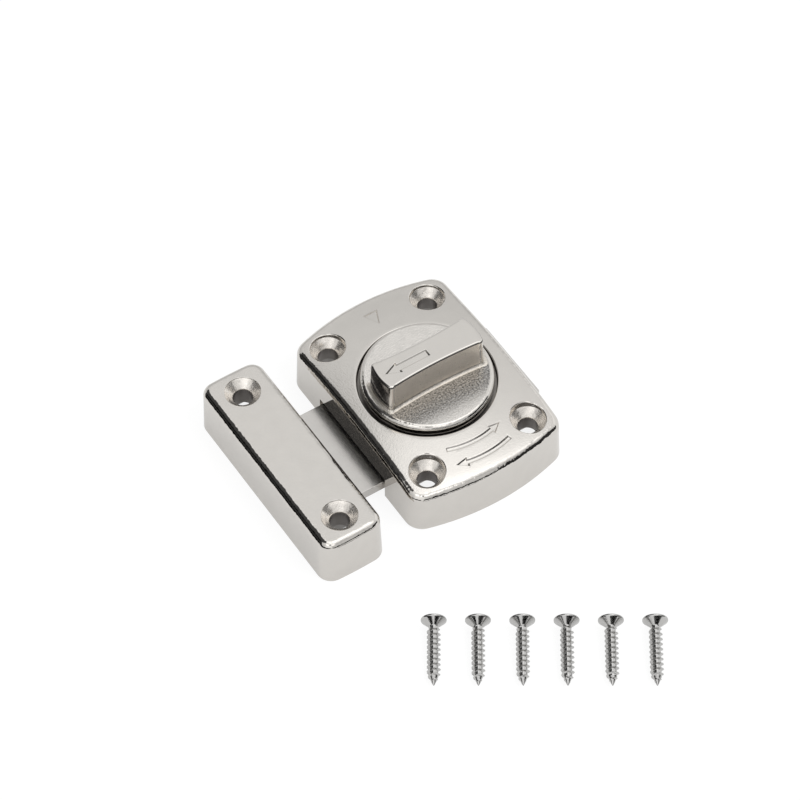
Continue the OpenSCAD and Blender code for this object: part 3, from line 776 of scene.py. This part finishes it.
def build_casing():
    shell = casing_skin()
    add_ribs(shell, casing_ribs(), casing_plan(wall / 2), rib_lift / 2, casing_h - wall)
    lugs = []
    for angle in lug_angles:
        a = math.radians(angle)
        at = (lug_at * math.cos(a), lug_at * math.sin(a))
        lugs.append(inner_rod(at, lug_r, lug_low, pocket_top + root, 32))
    combine(shell, join("lugs", lugs), "UNION")
    cutters = []
    for hole, pillar in zip(at_four(hole_dx / 2, hole_dy / 2), at_four(pillar_x, pillar_y)):
        cutters.append(sink_cutter(hole, casing_sink_drop, dome_z, casing_sink_edge_r))
        cutters.append(inner_rod(pillar, rivet_hole_r, -past, rivet_hole_h, 32))
    inner_x = casing_w / 2 - wall - past
    for side, notch_w in ((-1, bolt_w), (1, tail_w)):
        cutters.append(notch_cutter(side * casing_w / 2, side * inner_x, notch_w / 2 + notch_gap, notch_h))
    cutters.append(ball_track())
    cutters += casing_marks()
    combine(shell, join("cutters", cutters), "DIFFERENCE")
    settle(shell, "housing", ["casing"])


def build_keep():
    def outline(inset):
        return plan(keep_w, keep_l, keep_bow, keep_corner_r, inset)

    def placed(points, scale=1.0):
        return [(x * scale + keep_x, y * scale) for x, y in points]

    shrink_steps = 8
    rings = block_rings(outline, keep_l, keep_edge_r, flat(keep_h), keep_x)
    edge = [(x - keep_x, y) for x, y in rings[-1][0]]
    for k in range(1, shrink_steps - 1):
        rings.append((placed(edge, 1 - k / shrink_steps), flat(keep_h), SATIN))
    shell = ring_mesh("keep_skin", rings, CAST)
    hollow = placed(plan(keep_w, keep_l + 2 * (wall - keep_end_wall), keep_bow, keep_corner_r, wall))
    combine(shell, prism("hollow", hollow, -past, keep_h - wall, CAST, INSIDE), "DIFFERENCE")
    mouth = bolt_w / 2 + notch_gap
    high = keep_h - wall / 2
    holes = [(keep_x, side * keep_hole_dy / 2) for side in (-1, 1)]
    ribs = []
    for side, hole in zip((-1, 1), holes):
        near = mouth + keep_rib_gap
        ribs.append(rib(keep_w / 2, keep_x, side, near, near + rib_t, rib_lift, high))
        ribs.append(inner_rod(hole, boss_r, keep_h - boss_depth, high, 56))
    add_ribs(shell, join("ribs", ribs), placed(outline(wall / 2)), rib_lift / 4, keep_h - wall / 4)
    cutters = [sink_cutter(hole, keep_sink_drop, flat(keep_h), keep_sink_edge_r) for hole in holes]
    cutters.append(notch_cutter(keep_side, keep_side - wall - past, mouth, notch_h))
    combine(shell, join("cutters", cutters), "DIFFERENCE")
    settle(shell, "housing", ["keep"])


# Knob
def grip_plan(inset):
    """Plan of the grip, moved inwards: waisted sides, ends that follow the disc, small round corners."""
    end_steps, corner_steps, side_steps = 12, 10, 30
    r = grip_l / 2 - inset
    y = grip_end_w / 2 - inset - grip_corner_r
    x = math.sqrt((r - grip_corner_r) ** 2 - y * y)
    turn = math.degrees(math.atan2(y, x))
    lean = math.degrees(math.atan(4 * (grip_end_w - grip_waist_w) * x / grip_l ** 2))
    half = arc(0, 0, r, -turn, turn, end_steps)
    half += arc(x, y, grip_corner_r, turn, 90 + lean, corner_steps)[1:]
    for k in range(side_steps - 1, -side_steps, -1):
        px = x * k / side_steps
        half.append((px, grip_waist_w / 2 + (grip_end_w - grip_waist_w) / 2 * (2 * px / grip_l) ** 2 - inset))
    half += arc(-x, y, grip_corner_r, 90 - lean, 180 - turn, corner_steps)[:-1]
    return both_halves(half)


def disc_angles(outline):
    """Angles for the disc's points, in step with the outline's half by its length and half by its count."""
    n = len(outline)
    way = [0]
    for i in range(n):
        way.append(way[-1] + math.dist(outline[i], outline[(i + 1) % n]))
    start = math.atan2(outline[0][1], outline[0][0])
    return [start + 2 * math.pi * (0.5 * d / way[-1] + 0.5 * i / n) for i, d in enumerate(way[:-1])]


def knob_rings():
    """Rings from under the disc, over its edge and up the grip to the top."""
    slant = math.tan(draft)
    rise = grip_top - disc_top - grip_edge_r
    foot_outline = grip_plan(-grip_foot_r - slant * rise)
    angles = disc_angles(foot_outline)

    def round_ring(r):
        return [(r * math.cos(a), r * math.sin(a)) for a in angles]

    middle_r = 1.0
    rings = [
        (round_ring(middle_r), flat(disc_bottom), HIDDEN),
        (round_ring(knob_r - disc_low_edge), flat(disc_bottom), SHINY),
        (round_ring(knob_r - disc_low_bevel), flat(disc_bottom + disc_low_bevel), SHINY),
        (round_ring(knob_r), flat(disc_bottom + disc_low_edge), SHINY),
    ]
    for inset, drop in quarter(disc_edge_r, range(0, 90, 9)):
        rings.append((round_ring(knob_r - inset), flat(disc_top - drop), ROUNDED))
    disc = round_ring(knob_r - disc_edge_r)
    top_steps = 8
    for k in range(top_steps):
        rings.append((lerp(disc, foot_outline, k / top_steps), flat(disc_top), BLASTED))
    foot_steps, foot_shown = 8, 7
    for k, (up, out) in enumerate(quarter(grip_foot_r, [90 * k / foot_steps for k in range(foot_steps + 1)])):
        rings.append((grip_plan(-slant * rise - out), flat(disc_top + up), FOOT if k < foot_shown else SIDE))
    # The grip's top edge starts with the painted dark reflection line
    edge_indices = [PAINTED_LINE] * 3 + [SHINY] * 3 + [GRIP]
    for (inset, drop), index in zip(quarter(grip_edge_r, range(0, 91, 15)), edge_indices):
        rings.append((grip_plan(inset), flat(grip_top - drop), index))
    top = rings[-1][0]
    for k in (1, 2, 3):
        rings.append(([(x * (1 - k / 20), y * (1 - k / 8)) for x, y in top], flat(grip_top), GRIP))
    return rings


def build_knob():
    knob = ring_mesh("knob_skin", knob_rings(), KNOB)
    # Faces of the grip's wall that turn from its length are shiny, and its ends get the darker painted shade
    for face in knob.data.polygons:
        turn = math.degrees(math.atan2(abs(face.normal.x), abs(face.normal.y)))
        if face.material_index == SIDE and turn > shiny_turn:
            face.material_index = SHADED_END if turn > end_turn else SHINY
    half = socket_w / 2
    low = disc_bottom - past
    outline = [(grip_arrow_tip - x, -y) for x, y in arrow(*grip_arrow)]
    cutters = [
        box_mesh("cutter", (-half, -half, low), (half, half, socket_top), KNOB, HIDDEN),
        rod("cutter", (-detent_r, 0), detent_bore, low, detent_top, KNOB, HIDDEN, 40),
        mark_cutter(outline, flat(grip_top), GRIP),
    ]
    combine(knob, join("cutters", cutters), "DIFFERENCE")
    settle(knob, "turn", ["knob"])


# Bolt
def bolt_plan(inset):
    """Plan of the bolt, moved inwards: wide nose, shoulders and narrower tail."""
    steps = 6
    r = bolt_corner_r - inset
    nose = bolt_w / 2 - inset - r
    tail = tail_w / 2 - inset
    shoulder = shoulder_x - inset
    out = arc(bolt_high.x - inset - r, tail - r, r, 0, 90, steps) + [(shoulder, tail)]
    out += arc(shoulder - r, nose, r, 0, 90, steps) + arc(bolt_low.x + inset + r, nose, r, 90, 180, steps)
    return out + [(x, -y) for x, y in reversed(out)]


def build_bolt():
    angles = (0, 30, 60, 90)
    rings = [(bolt_plan(inset), flat(bolt_z + up), 0) for up, inset in quarter(bolt_edge_r, angles)]
    rings += [(bolt_plan(inset), flat(bolt_top - drop), 0) for inset, drop in quarter(bolt_edge_r, angles)]
    bolt = ring_mesh("bolt_plate", rings, [bolt_satin])
    steps = 20
    outline = arc(slot_x, slot_y - slot_l / 2, slot_w / 2, 180, 360, steps)
    outline += arc(slot_x, slot_y + slot_l / 2, slot_w / 2, 0, 180, steps)
    combine(bolt, prism("cutter", outline, bolt_z - past, bolt_top + past, [bolt_satin]), "DIFFERENCE")
    settle(bolt, "slider", ["bolt"])


# Wood screws
def screw_radius(z, turn):
    """Radius of a wood screw at a height over its tip, where turn counts whole turns round its axis."""
    neck = screw_l - head_rim_h - (head_r - core_r) * head_slope
    if z >= screw_l - head_rim_h:
        return head_r
    if z >= neck:
        return core_r + (z - neck) / head_slope
    body = core_r * min(1, (z / tip_l) ** tip_power)
    phase = (z / pitch - turn) % 1
    ridge = max(0, 1 - abs(phase - 0.5) / ridge_half)
    grow = min(1, max(0, (z - thread_start) / thread_grow))
    grow *= min(1, max(0, (neck - plain_l - z) / thread_end + 1))
    return max(body, tip_r) + (thread_r - core_r) * ridge ** ridge_power * grow


def screw_rings(sides):
    """Rings of one screw, standing on its tip."""
    rim_low = screw_l - head_rim_h
    bevel = 0.3 * head_edge_r
    head = (
        (head_r - bevel, rim_low),
        (head_r, rim_low + 0.8 * head_edge_r),
        (head_r, screw_l - head_edge_r),
        (head_r - bevel, screw_l - bevel),
        (head_r - head_edge_r, screw_l),
        (0.6 * head_r, screw_l),
    )
    levels = []
    for k in range(int(rim_low / ring_step)):
        z = ring_start + ring_step * k
        levels.append(([screw_radius(z, i / sides) for i in range(sides)], z))
    levels += [([r] * sides, z) for r, z in head]
    rings = []
    for radii, z in levels:
        turns = [2 * math.pi * (i / sides) for i in range(sides)]
        rings.append([(r * math.cos(a), r * math.sin(a), z) for r, a in zip(radii, turns)])
    return rings


def cut_cross(screw):
    """Cross recess in the head: two crossing wedges that narrow downwards."""
    for turn in (math.pi / 4, 3 * math.pi / 4):
        rings = []
        for half_l, half_w, lift in cross:
            corners = [(-half_l, -half_w), (half_l, -half_w), (half_l, half_w), (-half_l, half_w)]
            rings.append((corners, flat(screw_l + lift), 0))
        wedge = ring_mesh("cutter", rings, [bright])
        wedge.data.transform(Matrix.Rotation(turn, 4, "Z"))
        combine(screw, wedge, "DIFFERENCE")


def build_screws():
    rings = screw_rings(40)
    screw = loft("screw", rings, [bright], [0] * len(rings))
    cut_cross(screw)
    # A screw lies on its head's rim and its first crest
    lean = math.atan((head_r - thread_r) / (screw_l - head_rim_h - first_crest))
    lift = thread_r * math.cos(lean) - first_crest * math.sin(lean) + row_gap
    lying = Matrix.Rotation(math.pi / 2 - lean, 4, "Y")
    copies = []
    for i in range(screw_count):
        copy = bpy.data.objects.new("copy", screw.data.copy())
        x = row_start[0] + i * row_step * math.cos(row_angle)
        y = row_start[1] + i * row_step * math.sin(row_angle)
        place = Matrix.Translation((x, y, lift)) @ Matrix.Rotation(math.pi / 2 + row_angle, 4, "Z")
        place @= lying @ Matrix.Rotation(row_turn * i, 4, "Z")
        copy.data.transform(place)
        copies.append(copy)
    bpy.data.objects.remove(screw)
    settle(join("wood_screws_row", copies), "housing", ["wood_screws"], angle=50)


build_casing()
build_keep()
build_knob()
build_bolt()
build_screws()

# Materials of the nodes that are shown as they are
node_materials = {
    "spindle": steel,
    "bearing_bush": acetal,
    "cone_washer": spring,
    "detent_ball": steel,
    "detent_spring": spring,
    "crank_plate": steel,
    "crank_pin": steel,
    "lock_washer": spring,
    "crank_screw": steel,
    "back_plate": sheet,
    "glide_strips": acetal,
    "plate_rivets": spring,
}
for name, material in node_materials.items():
    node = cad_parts[name]
    for slot in node.material_slots:
        slot.material = material
    if not node.material_slots:
        node.data.materials.append(material)

# Floor and cards: half the floor's width, its squares, its height, and each card's foot and height
floor_half = 2500
floor_squares = 20
floor_z = -0.05
cards = (
    ("card_left", (-96, -120), (-96, 110), 25),
    ("card_near", (-120, -220), (200, -220), 52),
)
# The floor's colour and glow in reflections, in view, and for everything else
floor_in_mirrors = (0.55, 0.4)
floor_in_view = (0.16, 0.88)
floor_else = (0.8, 0)


def floor_shader(tree):
    """Shader of the floor: white to the camera and in reflections, with a faint shadow."""
    path = tree.nodes.new("ShaderNodeLightPath")
    mirrored = path.outputs["Is Glossy Ray"]
    seen = math_node(tree, "MAXIMUM", path.outputs["Is Camera Ray"], mirrored)
    seen = math_node(tree, "MAXIMUM", seen, path.outputs["Is Transmission Ray"])

    def glowing(colour, glow):
        """Shader of a matte surface that also gives off light."""
        matte = tree.nodes.new("ShaderNodeBsdfDiffuse")
        matte.inputs["Color"].default_value = (colour, colour, colour, 1)
        light = tree.nodes.new("ShaderNodeEmission")
        light.inputs["Strength"].default_value = glow
        both = tree.nodes.new("ShaderNodeAddShader")
        tree.links.new(matte.outputs[0], both.inputs[0])
        tree.links.new(light.outputs[0], both.inputs[1])
        return both.outputs[0]

    def choose(test, at_0, at_1):
        """One shader where the test is 0 and another where it is 1."""
        mix = tree.nodes.new("ShaderNodeMixShader")
        for output, socket in zip((test, at_0, at_1), mix.inputs):
            tree.links.new(output, socket)
        return mix.outputs[0]

    white = choose(mirrored, glowing(*floor_in_view), glowing(*floor_in_mirrors))
    return choose(seen, glowing(*floor_else), white)


def build_floor():
    n = floor_squares
    ticks = [-floor_half + 2 * floor_half * i / n for i in range(n + 1)]
    verts = [(x, y, floor_z) for y in ticks for x in ticks]
    corners = [j * (n + 1) + i for j in range(n) for i in range(n)]
    faces = [(c, c + 1, c + n + 2, c + n + 1) for c in corners]
    mat = new_material("floor_white")
    tree = mat.node_tree
    tree.nodes.clear()
    out = tree.nodes.new("ShaderNodeOutputMaterial")
    tree.links.new(floor_shader(tree), out.inputs["Surface"])
    floor = add_object("floor", verts, faces, [mat])
    floor.data.transform(Matrix.Scale(MM, 4))


def build_cards():
    """Black cards standing beside the keep and in front of the casing, which only reflections see."""
    mat = new_material("card_black")
    shader = mat.node_tree.nodes["Principled BSDF"]
    shader.inputs["Base Color"].default_value = (0.01, 0.01, 0.01, 1)
    shader.inputs["Roughness"].default_value = 0.9
    shader.inputs["Specular IOR Level"].default_value = 0
    for name, start, end, card_h in cards:
        verts = [(*start, 0), (*end, 0), (*end, card_h), (*start, card_h)]
        card = add_object(name, verts, [(0, 1, 2, 3)], [mat])
        card.data.transform(Matrix.Scale(MM, 4))
        card.visible_camera = False
        card.visible_diffuse = False
        card.visible_shadow = False


build_floor()
build_cards()

# Studio: white all round, with dark flags and softboxes that only reflections see
# Azimuth from +X towards +Y, elevation, inner and outer edge in degrees, and how much light it takes away
flags = (
    (145, 15, 24, 29, 0.95),
    (125, 52, 22, 30, 0.93),
    (-44, 12, 22, 25, 0.95),
    (-57, 53, 11, 22, 0.25),
    (-123, 53, 5, 9, 0.9),
)
# The same for softboxes, with the light that they add
boxes = (
    (60, 80, 8, 24, 0.45),
    (-30, 68, 8, 26, 0.75),
    (5, 20, 15, 30, 0.45),
    (-135, 22, 18, 30, 0.5),
    (-147, 53, 6, 14, 1),
    (-98, 53, 6, 14, 1),
)
# Light of the sky at the horizon, and how much more there is overhead
sky_low = 0.78
sky_more = 0.6
# The lamp's direction in degrees, its distance and size in metres, and its power
lamp_direction = (-60, 55)
lamp_distance = 1.2
lamp_size = 0.6
lamp_power = 4


def direction(azimuth, elevation):
    a, e = math.radians(azimuth), math.radians(elevation)
    return (math.cos(a) * math.cos(e), math.sin(a) * math.cos(e), math.sin(e))


def build_world():
    world = bpy.data.worlds.new("studio")
    bpy.context.scene.world = world
    world.use_nodes = True
    tree = world.node_tree
    tree.nodes.clear()
    out = tree.nodes.new("ShaderNodeOutputWorld")
    coords = tree.nodes.new("ShaderNodeTexCoord").outputs["Generated"]

    def lobe(azimuth, elevation, inner, outer, low, high):
        """A round patch of sky, from low outside it to high inside."""
        dot = tree.nodes.new("ShaderNodeVectorMath")
        dot.operation = "DOT_PRODUCT"
        dot.inputs[1].default_value = direction(azimuth, elevation)
        tree.links.new(coords, dot.inputs[0])
        start, end = math.cos(math.radians(outer)), math.cos(math.radians(inner))
        return map_range(tree, dot.outputs["Value"], start, end, low, high, True)

    up = split_axes(tree, coords)["Z"]
    level = math_node(tree, "MULTIPLY", math_node(tree, "MULTIPLY", up, up), sky_more)
    level = math_node(tree, "ADD", level, sky_low)
    for *shape, gain in boxes:
        level = math_node(tree, "ADD", level, lobe(*shape, 0, gain))
    for *shape, loss in flags:
        level = math_node(tree, "MULTIPLY", level, lobe(*shape, 1, 1 - loss))
    mirrored = tree.nodes.new("ShaderNodeLightPath").outputs["Is Glossy Ray"]
    level = math_node(tree, "MULTIPLY", level, mirrored)
    level = math_node(tree, "ADD", level, math_node(tree, "SUBTRACT", 1, mirrored))
    background = tree.nodes.new("ShaderNodeBackground")
    tree.links.new(level, background.inputs["Strength"])
    tree.links.new(background.outputs[0], out.inputs["Surface"])


def build_lamp():
    lamp = bpy.data.lights.new("soft_lamp", "AREA")
    lamp.shape = "DISK"
    lamp.size = lamp_size
    lamp.energy = lamp_power
    obj = bpy.data.objects.new("soft_lamp", lamp)
    bpy.context.scene.collection.objects.link(obj)
    obj.location = Vector(direction(*lamp_direction)) * lamp_distance
    obj.rotation_euler = obj.location.to_track_quat("Z", "Y").to_euler()
    obj.visible_glossy = False
    obj.visible_camera = False


# Camera, fitted to the photograph's edges and holes: its direction, its distance and film in millimetres
view_azimuth = math.radians(-33.204)
view_elevation = math.radians(53.048)
view_distance = 835.1
film_width = 36
# Focal length, size of the picture and the view's centre in it, in pixels
view_focal = 3724
frame_px = 800
centre_px = (427.10, 415.48)


def build_camera():
    a, e = view_azimuth, view_elevation
    back = Vector((math.sin(a) * math.cos(e), -math.cos(a) * math.cos(e), math.sin(e)))
    camera = bpy.data.cameras.new("camera")
    camera.sensor_width = film_width
    camera.lens = view_focal * film_width / frame_px
    camera.shift_x = (frame_px / 2 - centre_px[0]) / frame_px
    camera.shift_y = (centre_px[1] - frame_px / 2) / frame_px
    camera.clip_start = 0.05
    camera.clip_end = 20
    obj = bpy.data.objects.new("camera", camera)
    bpy.context.scene.collection.objects.link(obj)
    obj.location = back * view_distance * MM
    obj.rotation_mode = "QUATERNION"
    obj.rotation_quaternion = (-back).to_track_quat("-Z", "Y")
    bpy.context.scene.camera = obj


build_world()
build_lamp()
build_camera()
bpy.context.scene.view_settings.view_transform = "Standard"
